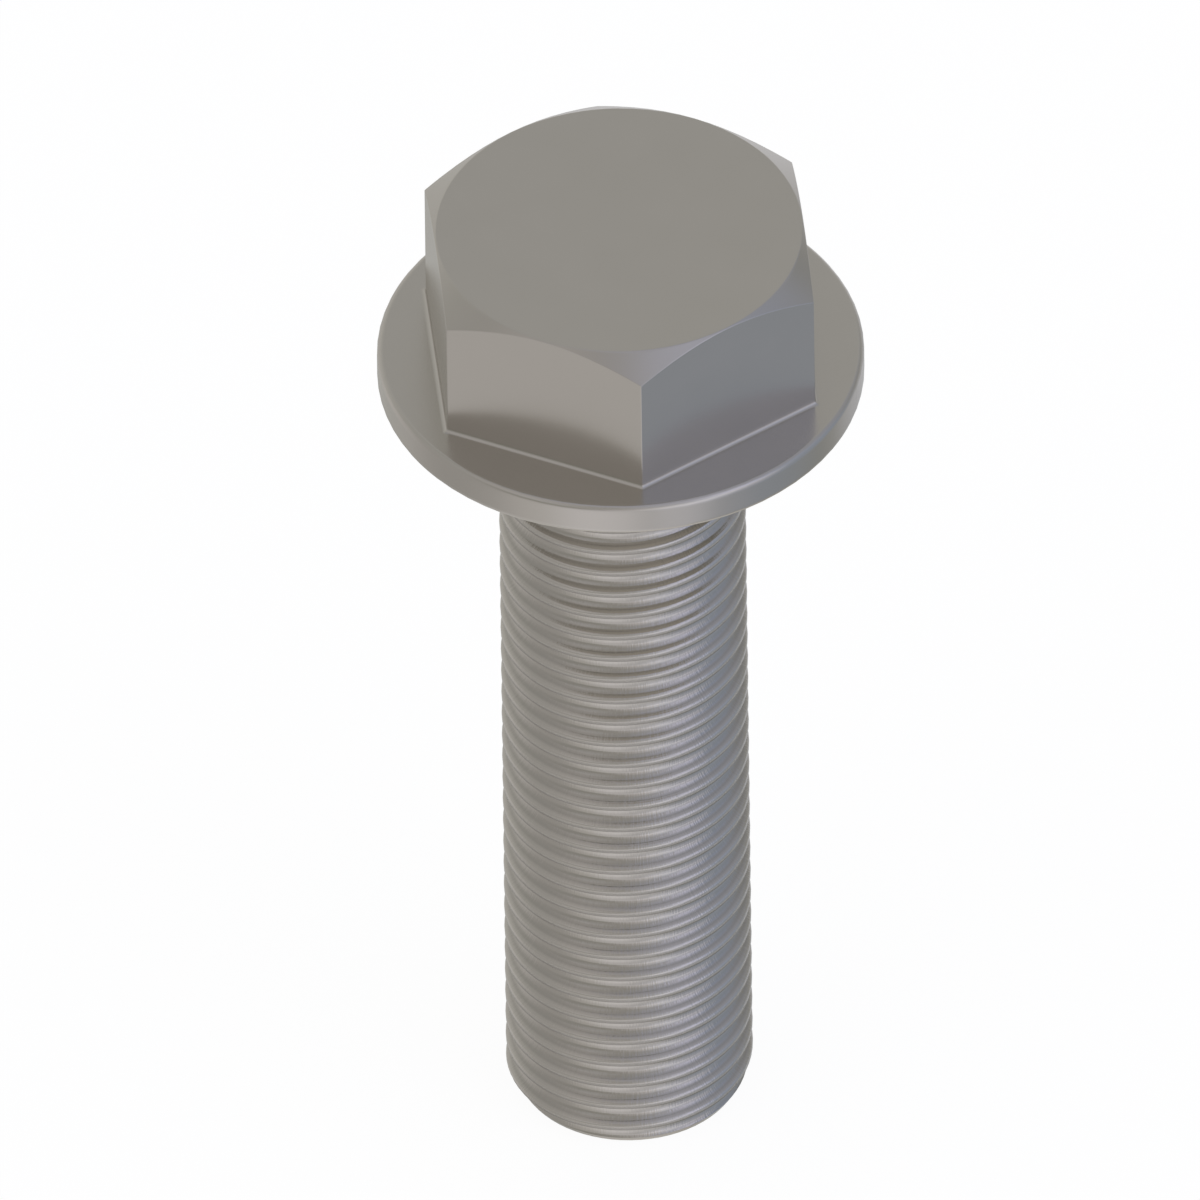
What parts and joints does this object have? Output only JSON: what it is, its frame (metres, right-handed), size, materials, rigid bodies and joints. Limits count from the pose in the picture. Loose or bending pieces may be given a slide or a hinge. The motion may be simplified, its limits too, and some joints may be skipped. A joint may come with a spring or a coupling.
{
  "type": "hex flange screw",
  "caption": "Hex flange self-tapping screw: hexagon head forged in one with a round washer flange, on a fully threaded shank with a flat chamfered end.",
  "frame": {"origin": "centre of the flat end face of the shank, which is the lowest point", "axes": "+Z along the screw's axis towards the head; -Y out of one flat of the hexagon"},
  "size_m": [0.0188, 0.0188, 0.043],
  "materials": {
    "steel": "plain satin steel, uncoated, with fine rolling marks on the thread"
  },
  "bodies": {
    "root": {"screw": "steel"}
  },
  "joints": []
}
